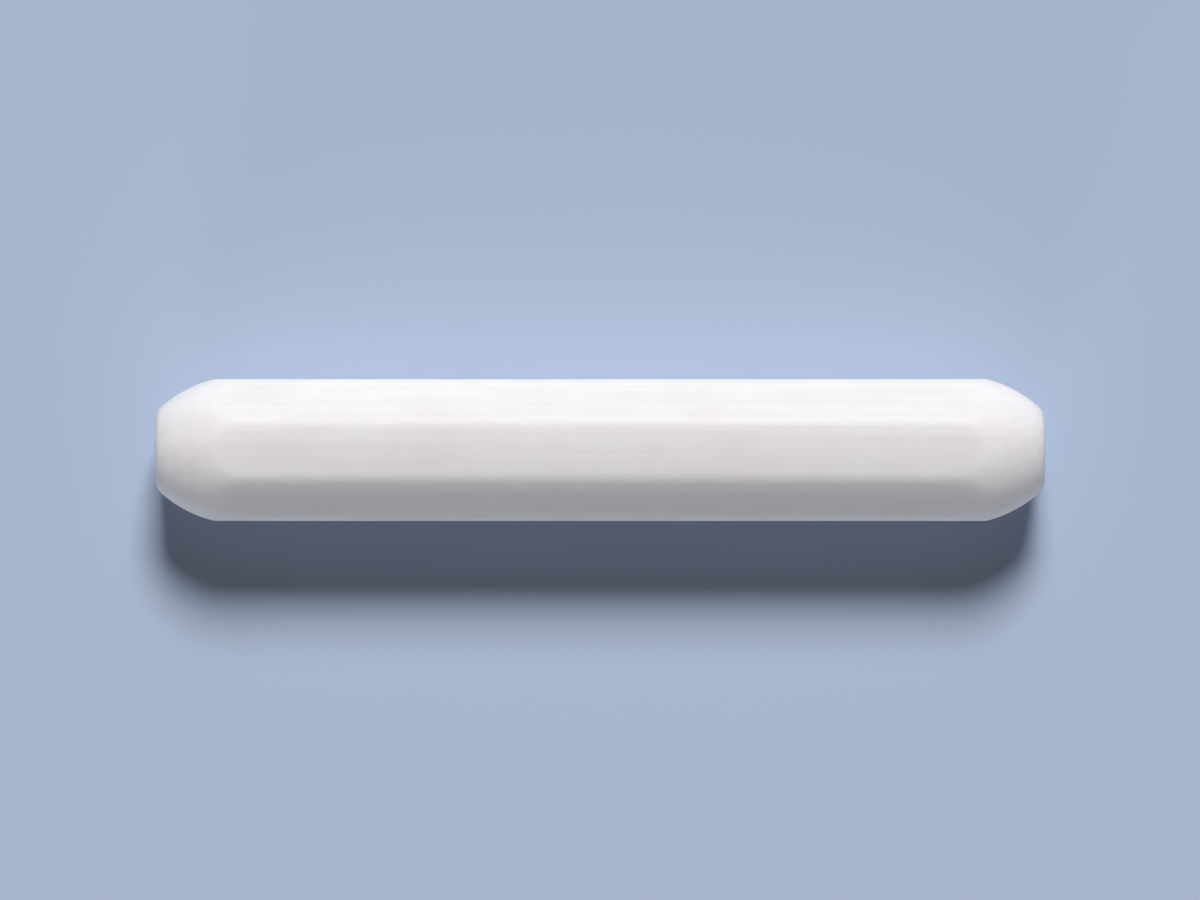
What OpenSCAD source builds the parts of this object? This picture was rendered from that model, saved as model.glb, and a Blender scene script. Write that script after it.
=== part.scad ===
// Magnetic stir bar: a rod magnet sealed in a white fluoropolymer jacket.
// The jacket is an octagonal bar whose two ends are turned to crowned noses.
// +X runs along the bar and +Z is up. The bar lies on one of its eight flats,
// and the origin is the middle of that flat.

/* [Bar] */
// Length over the two end faces
bar_len = 50; // [34:1:90]
// Width across opposite flats, which is also the height as it lies
flats_w = 8; // [6.5:0.1:12]
// Depth turned off each sharp ridge to leave a narrow round land
ridge_relief = 0.13; // [0.03:0.01:0.3]

/* [Nose] */
// Radius of the convex arc that the nose is turned to
crown_r = 7; // [6:0.1:12]
// Radius at which the crown would meet the flat end face
end_face_r = 2.15; // [1.4:0.05:2.8]
// Radius that softens the rim between crown and end face
rim_round = 0.8; // [0.2:0.05:1.2]

/* [Magnet] */
// Jacket wall between a flat and the magnet
side_wall = 1.5; // [0.8:0.05:2.2]
// Jacket wall between an end face and the magnet
end_wall = 3; // [2:0.1:8]
// Bevel that breaks the edges of the magnet rod
magnet_bevel = 0.4; // [0.1:0.05:0.8]
// Clearance all round the magnet in its cavity
magnet_fit = 0.02; // [0:0.01:0.1]

/* [Hidden] */
$fn = 96;

flat_count = 8;
half_len = bar_len / 2;
flat_r = flats_w / 2;
sharp_r = flat_r / cos(180 / flat_count);
ridge_r = sharp_r - ridge_relief;

// The crown arc leaves the ridge lands level and falls to the end face
crown_centre_r = ridge_r - crown_r;
nose_len = sqrt(pow(crown_r, 2) - pow(end_face_r - crown_centre_r, 2));
crown_start = half_len - nose_len;

// The rim arc touches the end face, and its circle just breaks through the crown
rim_break = 0.005;
rim_start = half_len - rim_round;
rim_reach = crown_r - rim_round + rim_break;
rim_centre_r = crown_centre_r + sqrt(pow(rim_reach, 2) - pow(rim_start - crown_start, 2));
rim_meets = crown_start + (rim_start - crown_start) * crown_r / rim_reach;

magnet_r = flat_r - side_wall;
magnet_half = half_len - end_wall;

// Lays what is drawn round the Z axis along X, at the height of the bar's axis
module along_bar() {
    translate([0, 0, flat_r]) rotate([0, 90, 0]) children();
}

// Eight-sided stock with one flat down
module octagonal_stock() {
    rotate(180 / flat_count)
        cylinder(h = bar_len, r = sharp_r, center = true, $fn = flat_count);
}

// Corner of the outline outside the rim arc
module rim_waste() {
    difference() {
        translate([rim_centre_r, rim_meets]) square(2 * rim_round);
        translate([rim_centre_r, rim_start]) circle(r = rim_round);
    }
}

// Half outline of the lathe work: radius across, distance from the middle up
module nose_outline() {
    difference() {
        union() {
            square([ridge_r, crown_start]);
            intersection() {
                translate([crown_centre_r, crown_start]) circle(r = crown_r, $fn = 4 * $fn);
                square([sharp_r, half_len]);
            }
        }
        rim_waste();
    }
}

// Round form that the lathe leaves: ridge lands, crowned noses and flat ends
module turned_form() {
    rotate_extrude() {
        nose_outline();
        mirror([0, 1]) nose_outline();
    }
}

// Rod with bevelled ends, grown by a clearance where it is a cavity
module rod_form(grow = 0) {
    r = magnet_r + grow;
    end = magnet_half + grow;
    rotate_extrude() polygon([
        [0, -end],
        [r - magnet_bevel, -end],
        [r, magnet_bevel - end],
        [r, end - magnet_bevel],
        [r - magnet_bevel, end],
        [0, end]
    ]);
}

// White jacket: each flat ends in the scallop where the crown cuts across it
module jacket() {
    color("#f4f3ef")
    along_bar()
    difference() {
        intersection() {
            octagonal_stock();
            turned_form();
        }
        rod_form(magnet_fit);
    }
}

// Rod magnet, cast and ground, sealed in the middle of the jacket
module magnet() {
    color("#5c5d61")
    along_bar()
    rod_form();
}

jacket();
magnet();
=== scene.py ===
# %% [markdown]
# # A magnetic stir bar
#
# The real object is a rod magnet sealed in a white fluoropolymer jacket. It lies on the floor of a
# beaker and spins with the field of a stirrer below. The jacket is an eight-sided bar, and its two
# ends are turned to smooth convex noses, so that it spins without catching on the glass.
#
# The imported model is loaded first. It is the fixed frame: it says where each piece is and how large,
# and nothing here moves or resizes it. What this script adds is the jacket's finely rounded surface,
# the finishes, the light and the camera.

# %% Load the frame
import math

import bpy
import numpy as np
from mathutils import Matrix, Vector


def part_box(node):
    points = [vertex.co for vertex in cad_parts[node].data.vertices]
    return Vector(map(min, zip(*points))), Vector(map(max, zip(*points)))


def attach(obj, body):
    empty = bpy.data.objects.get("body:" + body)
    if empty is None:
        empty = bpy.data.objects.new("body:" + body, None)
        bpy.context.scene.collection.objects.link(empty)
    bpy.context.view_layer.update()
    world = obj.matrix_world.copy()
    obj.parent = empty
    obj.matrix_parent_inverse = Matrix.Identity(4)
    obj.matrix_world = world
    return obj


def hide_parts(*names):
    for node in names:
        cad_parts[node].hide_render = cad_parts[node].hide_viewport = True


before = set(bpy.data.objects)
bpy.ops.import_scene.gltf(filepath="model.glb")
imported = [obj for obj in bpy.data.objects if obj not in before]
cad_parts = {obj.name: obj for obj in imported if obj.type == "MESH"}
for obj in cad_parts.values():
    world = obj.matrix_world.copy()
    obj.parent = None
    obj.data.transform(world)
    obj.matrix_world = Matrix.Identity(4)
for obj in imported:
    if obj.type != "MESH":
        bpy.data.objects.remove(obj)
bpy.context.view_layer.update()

print("pieces in the frame:", sorted(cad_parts))

# %% [markdown]
# ## The sizes that drive the shape
#
# Length, width and the magnet's size are read from the frame, so they can't drift away from it. The
# sizes that a lathe hand would set are named here, in metres, as in the construction model: the land
# left on each ridge, the crown of the nose and the small rim round the end face.
#
# One size is only a look: flat_crown. The jacket's wall is thickest at the ridges, and sintered
# plastic shrinks most where it is thick, which leaves each flat a trace fuller in its middle.

# %% Driving sizes, in metres
MM = 0.001

jacket_low, jacket_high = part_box("jacket")
magnet_low, magnet_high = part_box("magnet")

half_len = (jacket_high.x - jacket_low.x) / 2
flat_r = (jacket_high.z - jacket_low.z) / 2
axis_z = (jacket_high.z + jacket_low.z) / 2
magnet_r = (magnet_high.z - magnet_low.z) / 2
magnet_half = (magnet_high.x - magnet_low.x) / 2

flat_count = 8
half_turn = math.pi / flat_count
ridge_relief = 0.13 * MM
crown_r = 7.0 * MM
end_face_r = 2.15 * MM
rim_round = 0.8 * MM
flat_crown = 0.08 * MM
magnet_bevel = 0.4 * MM
magnet_fit = 0.02 * MM

ridge_r = flat_r / math.cos(half_turn) - ridge_relief
print(f"flats {2000 * flat_r:.2f} mm apart, ridges {2000 * ridge_r:.2f} mm apart")

# %% [markdown]
# ## Putting an array of rings into a mesh
#
# Each surface of the bar is a closed tube: rings of points, one after the other along it, with one
# more point at each end that closes the tube. The rings come as one array of rings by points by
# three, so the corners of all faces are found by counting, with no loop over points. foreach_set
# then hands whole arrays to the mesh, which is much faster than adding faces one by one.
#
# A face shows its outside where its corners run anticlockwise. A cavity is the same tube with its
# corners in the opposite order, so that its faces look into the hollow.

# %% Helper: the faces of a closed tube
def closed_tube(rings, first=0, hollow=False):
    """Vertices and faces of a tube closed at both ends. The faces count their vertices from first.

    rings has one row of points for each station along +X, each running from +Z towards +Y round the
    axis. The end points are the means of the first and the last ring. Face (i, j) joins points j and
    j + 1 of ring i to those of ring i + 1, and the last point of a ring is followed by its first."""
    count, around = rings.shape[:2]
    ends = np.stack([rings[0].mean(axis=0), rings[-1].mean(axis=0)])
    vertices = np.concatenate([rings.reshape(-1, 3), ends])
    ring, point = np.meshgrid(np.arange(count - 1), np.arange(around), indexing="ij")
    here = ring * around + point
    beside = ring * around + (point + 1) % around
    quads = np.stack([here, here + around, beside + around, beside], axis=-1).reshape(-1, 4)
    j = np.arange(around)
    k = (j + 1) % around
    low_end = np.full(around, count * around)
    last = (count - 1) * around
    low_cap = np.stack([low_end, j, k], axis=-1)
    high_cap = np.stack([low_end + 1, last + k, last + j], axis=-1)
    faces = [group + first for group in (quads, low_cap, high_cap)]
    if hollow:
        faces = [group[:, ::-1] for group in faces]
    return vertices, faces

# %% Helpers: a mesh from tubes, and the volume in a tube
def make_piece(name, tubes):
    """One mesh object from several closed tubes, smooth shaded, with its place in its vertices."""
    vertices = np.concatenate([points for points, _ in tubes])
    faces = [group for _, groups in tubes for group in groups]
    corners = np.concatenate([group.ravel() for group in faces]).astype(np.int32)
    sizes = np.concatenate([np.full(len(group), group.shape[1]) for group in faces])
    starts = np.concatenate([[0], np.cumsum(sizes)[:-1]]).astype(np.int32)
    mesh = bpy.data.meshes.new(name)
    mesh.vertices.add(len(vertices))
    mesh.vertices.foreach_set("co", vertices.astype(np.float32).ravel())
    mesh.loops.add(len(corners))
    mesh.loops.foreach_set("vertex_index", corners)
    mesh.polygons.add(len(sizes))
    mesh.polygons.foreach_set("loop_start", starts)
    mesh.polygons.foreach_set("use_smooth", np.ones(len(sizes), bool))
    mesh.update(calc_edges=True)
    mesh.validate()
    piece = bpy.data.objects.new(name, mesh)
    bpy.context.scene.collection.objects.link(piece)
    print(f"{name}: {len(vertices)} points, {int((sizes - 2).sum())} triangles")
    return piece


def enclosed_volume(rings):
    """Volume in a tube: the mean area of each two neighbouring rings, seen along X, times the step
    between them. A ring's area is half the sum of y * next z - z * next y over its points, with
    its sign left out."""
    y, z = rings[..., 1], rings[..., 2]
    area = 0.5 * np.abs((y * np.roll(z, -1, 1) - z * np.roll(y, -1, 1)).sum(axis=1))
    return float((0.5 * (area[1:] + area[:-1]) * np.diff(rings[:, 0, 0])).sum())

# %% [markdown]
# ## The outline that the lathe leaves
#
# A nose is one convex arc, the crown. It leaves the ridges level, so there is no step where it
# starts, and falls to a small flat end face. A smaller rim arc joins the two: its circle touches the
# end face, and touches the crown's circle from inside. Where the two circles touch lies on the line
# through both centres, which gives the angle at which one arc hands over to the other.
#
# The outline is a list of stations, each a distance from the middle and a radius. They are close
# together on the arcs, where light shows every flat spot, and far apart along the straight body.
# Blender's Screw modifier could turn such an outline too, but the flats come next, and they are
# easier to work in while the outline is still numbers.

# %% Where the nose's two arcs have their centres
crown_centre_r = ridge_r - crown_r
nose_len = math.sqrt(crown_r**2 - (end_face_r - crown_centre_r) ** 2)
crown_centre = np.array([half_len - nose_len, crown_centre_r])

rim_x = half_len - rim_round - crown_centre[0]
rim_r = math.sqrt((crown_r - rim_round) ** 2 - rim_x**2)
rim_centre = crown_centre + np.array([rim_x, rim_r])
hand_over = math.atan2(rim_x, rim_r)
print(f"nose {1000 * nose_len:.2f} mm long, end face {2000 * rim_centre[1]:.2f} mm across")

# %% The turned outline of one nose, and of the whole bar
def arc(centre, radius, from_angle, to_angle, steps):
    """Points of an arc as (station, radius from the axis). Angle 0 points outwards from the axis and
    a quarter turn points along the bar, towards the end."""
    angle = np.linspace(from_angle, to_angle, steps)
    return centre + radius * np.stack([np.sin(angle), np.cos(angle)], axis=-1)


def turned_outline(body_steps=64, crown_steps=68, rim_steps=13, face_steps=7):
    """Stations of the whole bar from the -X end to the +X end, as (distance from the middle, radius)."""
    body_x = np.linspace(-crown_centre[0], crown_centre[0], body_steps)
    body = np.stack([body_x, np.full(body_steps, ridge_r)], axis=-1)
    crown = arc(crown_centre, crown_r, 0.0, hand_over, crown_steps)[1:]
    rim = arc(rim_centre, rim_round, hand_over, math.pi / 2, rim_steps)[1:]
    shrink = np.linspace(1.0, 0.0, face_steps + 1)[1:-1]
    face = np.stack([np.full(len(shrink), half_len), rim_centre[1] * shrink], axis=-1)
    nose = np.concatenate([crown, rim, face])
    other_nose = nose[::-1] * np.array([-1.0, 1.0])
    return np.concatenate([other_nose, body, nose])


outline = turned_outline()
print(len(outline), "stations")

# %% [markdown]
# ## Eight flats cut by one round form
#
# The bar is what an eight-sided rod and the round form have in common. A Boolean modifier could cut
# one with the other, but it leaves long thin triangles, and smooth shading turns those to stains.
# Here the distance from the axis is worked out instead, which gives an even grid. Seen from the
# axis, the rod's side is flat_r / cos(angle) away, with the angle counted from the middle of the
# nearest flat, and the round form is as far away as the outline says. The nearer is the surface.
#
# A sharp choice of the nearer one would leave hard creases. The real jacket is moulded and sintered,
# so its creases are soft, and a smooth minimum gives that: within a small difference k the two
# distances are blended, which rounds the ridges and the scallops at the ends of the flats alike.
#
# Nor are the flats quite flat. Each falls a little towards its ridges, and sinks by up to a hundredth
# of a millimetre in slow waves along the bar, which a long highlight shows at once. Both only take
# away, so that the bar stays within its size.

# %% Soft creases and slow waves
def soft_minimum(a, b, k):
    """The smaller of a and b, less k/4 * h^2 where they differ by under k, with h = 1 - |a - b| / k."""
    h = np.clip(1.0 - np.abs(a - b) / k, 0.0, 1.0)
    return np.minimum(a, b) - 0.25 * k * h * h


# Each wave: pitch along the bar, turns in one round of it, phase in radians, and half its height
WAVES = (
    (17.3 * MM, 2, 0.0, 0.25),
    (9.1 * MM, -5, 1.3, 0.15),
    (5.7 * MM, 8, 0.4, 0.1),
)


def slow_waves(x, angle):
    """0.5 plus the sum of half height * sin(2 pi x / pitch + turns * angle + phase): from 0 to 1."""
    swings = [
        half_height * np.sin(2 * np.pi * x / pitch + turns * angle + phase)
        for pitch, turns, phase, half_height in WAVES
    ]
    return 0.5 + sum(swings)

# %% The jacket's outer surface
def jacket_rings(outline, points_per_flat=44, crease=0.05 * MM, wave_depth=0.012 * MM, calm=0.6):
    """Points of the outer surface at (station, angle), with angle 0 straight up, towards +Y.

    Distance from the axis = soft minimum of the flat's distance and the outline's radius, less the
    waves. A flat's own distance is flat_r / cos(a) - flat_crown * (tan(a) / tan(half_turn))^2, with
    a counted from the flat's middle, so that it falls by flat_crown where it meets its neighbour.
    The waves fade out as the outline narrows to calm * flat_r, and below, where the bar rests."""
    x, turned = outline[:, :1], outline[:, 1:]
    angle = np.linspace(0.0, 2 * np.pi, flat_count * points_per_flat, endpoint=False)[None, :]
    from_flat = (angle + half_turn) % (2 * half_turn) - half_turn
    fall = flat_crown * (np.tan(from_flat) / math.tan(half_turn)) ** 2
    distance = soft_minimum(flat_r / np.cos(from_flat) - fall, turned, crease)
    # rests is 1 below the axis, 0.6 at the lowest flat's edges and 0.1 in the middle of the next
    rests = np.clip(-np.cos(angle), 0.0, 1.0) ** 6
    lively = np.clip((turned / flat_r - calm) / (1.0 - calm), 0.0, 1.0)
    distance = distance - wave_depth * slow_waves(x, angle) * lively * (1.0 - rests)
    return np.stack(
        [
            np.broadcast_to(x, distance.shape),
            distance * np.sin(angle),
            axis_z + distance * np.cos(angle),
        ],
        axis=-1,
    )


outer_rings = jacket_rings(outline)
print("outer surface:", outer_rings.shape[0], "rings of", outer_rings.shape[1], "points")

# %% [markdown]
# ## The sealed hollow
#
# Inside the real jacket is the magnet's own imprint, because the plastic was pressed and sintered
# round it. Nobody sees it, and a solid mesh would look nearly the same. It is made because the
# finished mesh then has the real jacket's walls wherever it is cut or weighed, and because light
# that goes deep into the plastic then meets the dark magnet, as in the real one.

# %% The hollow's surface
def cavity_rings(around=96, steps=12):
    """Points of the sealed hollow: the magnet's own outline, with bevelled ends, grown by its fit.

    Its radius is r along the rod and r - magnet_bevel at each end. One more ring at r / 2 there keeps
    the triangles of the end faces short."""
    r = magnet_r + magnet_fit
    end = magnet_half + magnet_fit
    x = np.concatenate(
        [[-end, -end], np.linspace(magnet_bevel - end, end - magnet_bevel, steps), [end, end]]
    )
    radius = np.concatenate(
        [[0.5 * r, r - magnet_bevel], np.full(steps, r), [r - magnet_bevel, 0.5 * r]]
    )
    angle = np.linspace(0.0, 2 * np.pi, around, endpoint=False)[None, :]
    return np.stack(
        [
            np.broadcast_to(x[:, None], (len(x), around)),
            radius[:, None] * np.sin(angle),
            axis_z + radius[:, None] * np.cos(angle),
        ],
        axis=-1,
    )


inner_rings = cavity_rings()
print(f"hollow: {2000 * inner_rings[:, 0, 0].max():.2f} mm long")

# %% The jacket, outside and inside
outer_tube = closed_tube(outer_rings)
inner_tube = closed_tube(inner_rings, first=len(outer_tube[0]), hollow=True)
jacket = make_piece("jacket_skin", [outer_tube, inner_tube])
solid_mm3 = (enclosed_volume(outer_rings) - enclosed_volume(inner_rings)) / MM**3
print(f"jacket: {solid_mm3:.0f} cubic millimetres of fluoropolymer")

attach(jacket, "root")
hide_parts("jacket")

# %% [markdown]
# ## Finishes
#
# A finish is a small tree of nodes. The helpers here only add a node, set its plain values and join
# sockets, so that each finish below reads as a recipe. Patterns are measured in metres in the
# piece's own coordinates: a Mapping node stretches them, and a noise of scale 1000 has a grain of
# about one millimetre. Such a pattern runs through the piece like the grain of wood, so it has no
# seam, which an image wrapped round the bar would have.

# %% Helpers: nodes and the joins between them
def new_material(name):
    """A new material and its node tree, with no nodes in it yet."""
    material = bpy.data.materials.new(name)
    material.use_nodes = True
    material.node_tree.nodes.clear()
    return material, material.node_tree


def add(tree, kind, inputs=None, **settings):
    """A node of this kind, with plain settings and input values."""
    node = tree.nodes.new(kind)
    for key, value in settings.items():
        setattr(node, key, value)
    for key, value in (inputs or {}).items():
        node.inputs[key].default_value = value
    return node


def feed(tree, socket, value):
    """Joins value to the socket if it is another node's output, and otherwise sets it there."""
    if isinstance(value, bpy.types.NodeSocket):
        tree.links.new(value, socket)
    else:
        socket.default_value = value


def maths(tree, operation, *values):
    """The values, outputs or numbers, joined by one operation."""
    node = add(tree, "ShaderNodeMath", operation=operation)
    for socket, value in zip(node.inputs, values):
        feed(tree, socket, value)
    return node.outputs["Value"]


def blended(tree, share, first, second, kind):
    """first where share is 0 and second where it is 1, as numbers (FLOAT) or colours (RGBA)."""
    node = add(tree, "ShaderNodeMix", data_type=kind)
    feed(tree, node.inputs["Factor"], share)
    feed(tree, node.inputs["A"], first)
    feed(tree, node.inputs["B"], second)
    return node.outputs["Result"]


def ranged(tree, value, span, onto):
    """value moved from the span (low, high) onto another (low, high), and kept in it."""
    limits = {"From Min": span[0], "From Max": span[1], "To Min": onto[0], "To Max": onto[1]}
    node = add(tree, "ShaderNodeMapRange", limits)
    feed(tree, node.inputs["Value"], value)
    return node.outputs["Result"]

# %% Helpers: patterns, relief and the shader
def stretched_noise(tree, place, per_metre, detail, roughness=0.5):
    """Noise with per_metre = (x, y, z) lumps in a metre, so that a small number makes long lumps.
    Nearly all of its values lie between 0.3 and 0.7."""
    mapping = add(tree, "ShaderNodeMapping", {"Scale": per_metre})
    noise = add(tree, "ShaderNodeTexNoise", {"Scale": 1.0, "Detail": detail, "Roughness": roughness})
    feed(tree, mapping.inputs["Vector"], place)
    feed(tree, noise.inputs["Vector"], mapping.outputs["Vector"])
    return noise.outputs["Fac"]


def relief(tree, height, depth):
    """Surface direction over a relief in which a height of 1 stands for depth, in metres."""
    bump = add(tree, "ShaderNodeBump", {"Strength": 1.0, "Distance": depth})
    feed(tree, bump.inputs["Height"], height)
    return bump.outputs["Normal"]


def surface(tree, varied, **plain):
    """The material's one shader: varied inputs are fed by nodes, and plain ones are set on it. A
    plain input's name is written with _ in place of each space."""
    shader = add(tree, "ShaderNodeBsdfPrincipled")
    for name, value in plain.items():
        shader.inputs[name.replace("_", " ")].default_value = value
    for name, value in varied.items():
        feed(tree, shader.inputs[name], value)
    output = add(tree, "ShaderNodeOutputMaterial")
    feed(tree, output.inputs["Surface"], shader.outputs["BSDF"])

# %% [markdown]
# ### White fluoropolymer
#
# This plastic is a solid, slightly waxy white. It can't be melted and poured: powder is pressed
# round the magnet and sintered, which leaves it faintly cloudy, with streaks along the bar where it
# was drawn from its mould. The noses are turned afterwards, and a turning tool leaves rings instead.
#
# It bends light little, so its shine is weak and satin. Most of the light goes a couple of
# millimetres into it before it comes out again. That part, subsurface scattering, carries brightness
# round the ridges and is what tells it from painted metal.
#
# - The colour is nearly white and a touch warm. Clouds and streaks each change it by a few percent.
# - The roughness follows the same clouds.
# - The bump is a fine pressed grain everywhere, with the streaks on the flats and the rings on the
#   noses. All of it is a few thousandths of a millimetre deep.

# %% The jacket's finish
DULLER_WHITE = (0.855, 0.802, 0.797, 1.0)
CLEARER_WHITE = (0.963, 0.903, 0.898, 1.0)


def nose_share(tree, place, fade=0.2):
    """0 on the body and 1 on the noses, with a change over the first fifth of a nose's length."""
    along = add(tree, "ShaderNodeSeparateXYZ")
    feed(tree, along.inputs["Vector"], place)
    from_middle = maths(tree, "ABSOLUTE", along.outputs["X"])
    nose_start = crown_centre[0]
    return ranged(tree, from_middle, span=(nose_start, nose_start + fade * nose_len), onto=(0.0, 1.0))


def fluoropolymer():
    """White sintered fluoropolymer: cloudy, satin and slightly translucent."""
    material, tree = new_material("white_fluoropolymer")
    place = add(tree, "ShaderNodeTexCoord").outputs["Object"]
    clouds = stretched_noise(tree, place, (260.0, 420.0, 420.0), detail=3.0)
    streaks = stretched_noise(tree, place, (45.0, 2600.0, 2600.0), detail=4.0, roughness=0.6)
    rings = stretched_noise(tree, place, (7000.0, 120.0, 120.0), detail=2.0)
    grain = stretched_noise(tree, place, (6500.0, 6500.0, 6500.0), detail=2.0)

    # Clouds make up 0.6 of the change in shade, and streaks the other 0.4
    cloudy = ranged(tree, clouds, span=(0.3, 0.7), onto=(0.0, 0.6))
    streaky = ranged(tree, streaks, span=(0.35, 0.65), onto=(0.0, 0.4))
    shade = maths(tree, "ADD", cloudy, streaky)

    # The grain and the marks of making each take half of the relief's depth
    faint_rings = maths(tree, "MULTIPLY", rings, 0.5)
    marks = blended(tree, nose_share(tree, place), streaks, faint_rings, "FLOAT")
    height = maths(tree, "MULTIPLY", maths(tree, "ADD", grain, marks), 0.5)
    varied = {
        "Base Color": blended(tree, shade, DULLER_WHITE, CLEARER_WHITE, "RGBA"),
        "Roughness": ranged(tree, clouds, span=(0.3, 0.7), onto=(0.5, 0.62)),
        "Normal": relief(tree, height, depth=0.016 * MM),
    }
    surface(
        tree,
        varied,
        IOR=1.36,
        Subsurface_Weight=0.85,
        Subsurface_Radius=(1.0, 1.0, 1.0),
        Subsurface_Scale=2.6 * MM,
    )
    return material


jacket.data.materials.append(fluoropolymer())
print("jacket finish:", jacket.data.materials[0].name)

# %% [markdown]
# ### The magnet
#
# Nobody sees the magnet until a jacket is cut open, but it is a piece of its own and gets its real
# finish. It is a rod of cast aluminium-nickel-cobalt alloy: grey, coarse and brittle, with fine pits
# from casting. Only its round side is ground, which leaves fine rings round the rod. The packed
# shape is right as it is, so the node stays and only takes the new material.

# %% The magnet's finish
DARK_ALLOY = (0.16, 0.16, 0.165, 1.0)
LIGHT_ALLOY = (0.36, 0.36, 0.37, 1.0)


def cast_magnet_alloy():
    """Ground cast alloy: dark grey metal with rings round the rod and small casting pits."""
    material, tree = new_material("cast_magnet_alloy")
    place = add(tree, "ShaderNodeTexCoord").outputs["Object"]
    rings = stretched_noise(tree, place, (14000.0, 300.0, 300.0), detail=3.0)
    lumps = stretched_noise(tree, place, (900.0, 900.0, 900.0), detail=5.0, roughness=0.65)

    # A pit is where the lumps are at their lowest, and there the metal is darkest too
    lightness = ranged(tree, lumps, span=(0.3, 0.6), onto=(0.0, 1.0))
    pits = ranged(tree, lumps, span=(0.3, 0.4), onto=(0.0, 1.0))
    height = maths(tree, "MULTIPLY_ADD", rings, 0.25, pits)
    varied = {
        "Base Color": blended(tree, lightness, DARK_ALLOY, LIGHT_ALLOY, "RGBA"),
        "Roughness": ranged(tree, rings, span=(0.3, 0.7), onto=(0.32, 0.5)),
        "Normal": relief(tree, height, depth=0.02 * MM),
    }
    surface(tree, varied, Metallic=1.0)
    return material


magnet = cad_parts["magnet"]
magnet.data.materials.clear()
magnet.data.materials.append(cast_magnet_alloy())
print("magnet finish:", magnet.data.materials[0].name)

# %% [markdown]
# ## Floor, light and camera
#
# The floor is one wide plain sheet, a pale blue grey against which a white bar stands out, and it
# takes the bar's shadow. It lies a hundredth of a millimetre below the bar, because two faces in one
# plane would flicker.

# %% Floor
FLOOR_COLOUR = (0.47, 0.56, 0.73, 1.0)


def pale_floor(radius=3.0, drop=0.01 * MM, sides=64):
    """A flat disc below the bar."""
    angle = np.linspace(0.0, 2 * np.pi, sides, endpoint=False)
    points = np.stack(
        [radius * np.cos(angle), radius * np.sin(angle), np.full(sides, -drop)], axis=-1
    )
    mesh = bpy.data.meshes.new("floor")
    mesh.from_pydata(points.tolist(), [], [list(range(sides))])
    floor = bpy.data.objects.new("floor", mesh)
    bpy.context.scene.collection.objects.link(floor)
    material, tree = new_material("pale_floor")
    surface(tree, {}, Base_Color=FLOOR_COLOUR, Roughness=0.9, Specular_IOR_Level=0.1)
    mesh.materials.append(material)
    return floor


pale_floor()
print("floor colour:", FLOOR_COLOUR[:3])

# %% [markdown]
# The key lamp stands behind the bar, half way up the sky. Its light falls squarely on the sloping
# flat on that side and at a slant on the level one, so each flat has a tone of its own, which is
# what makes eight sides readable on a white piece. It is 20 degrees wide, as a large soft box would
# be, so the shadow has a soft edge.
#
# The flats in front get their light from a weak lamp near the floor. It is kept low because it then
# lights the upright flat more than the sloping one, and hardly reaches the top. The world adds a
# low, even fill.
#
# Both lamps are sun lamps, whose light is as strong far away as near: the floor stays even in every
# view. What the camera and reflections see beyond the floor is the floor's own colour at the same
# level of light, so there is no horizon.

# %% Lamps
KEY_LAMP = {"strength": 3.14, "elevation": 46.0, "azimuth": 5.0, "width": 20.0}
FRONT_LAMP = {"strength": 0.72, "elevation": 10.0, "azimuth": 192.0, "width": 20.0}


def sun_lamp(name, strength, elevation, azimuth, width):
    """A sun lamp. Azimuth 0 stands behind the bar, on its +Y side, and 90 on its +X side.

    The result is the part of its own colour at which the lamp alone shows a level surface, which is
    strength * sin(elevation) / pi."""
    light = bpy.data.lights.new(name, "SUN")
    light.energy = strength
    light.angle = math.radians(width)
    lamp = bpy.data.objects.new(name, light)
    lamp.rotation_euler = (math.radians(elevation - 90.0), 0.0, math.radians(-azimuth))
    bpy.context.scene.collection.objects.link(lamp)
    return strength * math.sin(math.radians(elevation)) / math.pi


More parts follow.
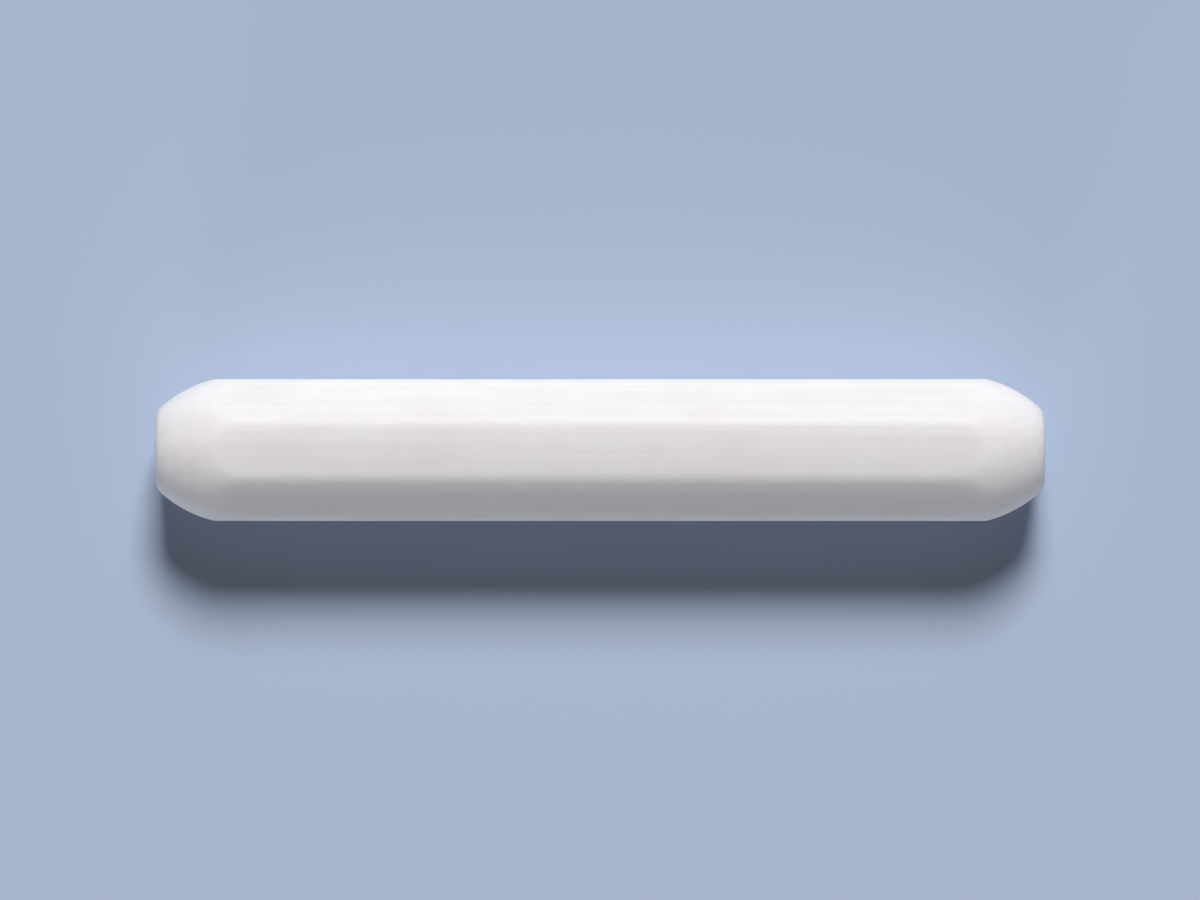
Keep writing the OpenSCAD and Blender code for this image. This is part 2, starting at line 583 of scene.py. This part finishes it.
lamps_level = sun_lamp("key", **KEY_LAMP) + sun_lamp("front", **FRONT_LAMP)
print(f"the lamps show a level white surface at {lamps_level:.2f} of its own colour")

# %% The world's fill and the backdrop
FILL = 0.06


def even_world(fill, seen):
    """Gives light of strength fill, and shows the colour seen to the camera and in reflections."""
    world = bpy.data.worlds.new("studio")
    bpy.context.scene.world = world
    world.use_nodes = True
    tree = world.node_tree
    tree.nodes.clear()
    ray = add(tree, "ShaderNodeLightPath").outputs
    shown = maths(tree, "MAXIMUM", ray["Is Camera Ray"], ray["Is Glossy Ray"])
    shown = maths(tree, "MAXIMUM", shown, ray["Is Transmission Ray"])
    light = add(tree, "ShaderNodeBackground", {"Color": (1.0, 1.0, 1.0, 1.0), "Strength": fill})
    backdrop = add(tree, "ShaderNodeBackground", {"Color": seen, "Strength": 1.0})
    either = add(tree, "ShaderNodeMixShader")
    for socket, value in zip(either.inputs, (shown, light.outputs[0], backdrop.outputs[0])):
        feed(tree, socket, value)
    output = add(tree, "ShaderNodeOutputWorld")
    feed(tree, output.inputs["Surface"], either.outputs[0])


level = lamps_level + FILL
even_world(FILL, seen=(*[level * part for part in FLOOR_COLOUR[:3]], 1.0))
print(f"with the fill it shows at {level:.2f}")

# %% [markdown]
# The camera looks straight down on the bar, which is how bars of different lengths are laid out to
# be compared. A long lens keeps the two ends as wide as the middle.

# %% Camera
def overhead_camera(lens=300.0, bar_share=0.74):
    """A camera straight above the bar, so far away that the bar takes bar_share of the view's width.

    Its distance from the axis is (2 * half_len / bar_share) * lens / width of the sensor."""
    data = bpy.data.cameras.new("camera")
    data.lens = lens
    data.clip_start = 0.01
    camera = bpy.data.objects.new("camera", data)
    seen_width = 2 * half_len / bar_share
    distance = seen_width * lens / data.sensor_width
    camera.location = (0.0, 0.0, axis_z + distance)
    bpy.context.scene.collection.objects.link(camera)
    bpy.context.scene.camera = camera
    print(f"camera {1000 * distance:.0f} mm above the bar's axis")


overhead_camera()
bpy.context.scene.view_settings.view_transform = "Standard"
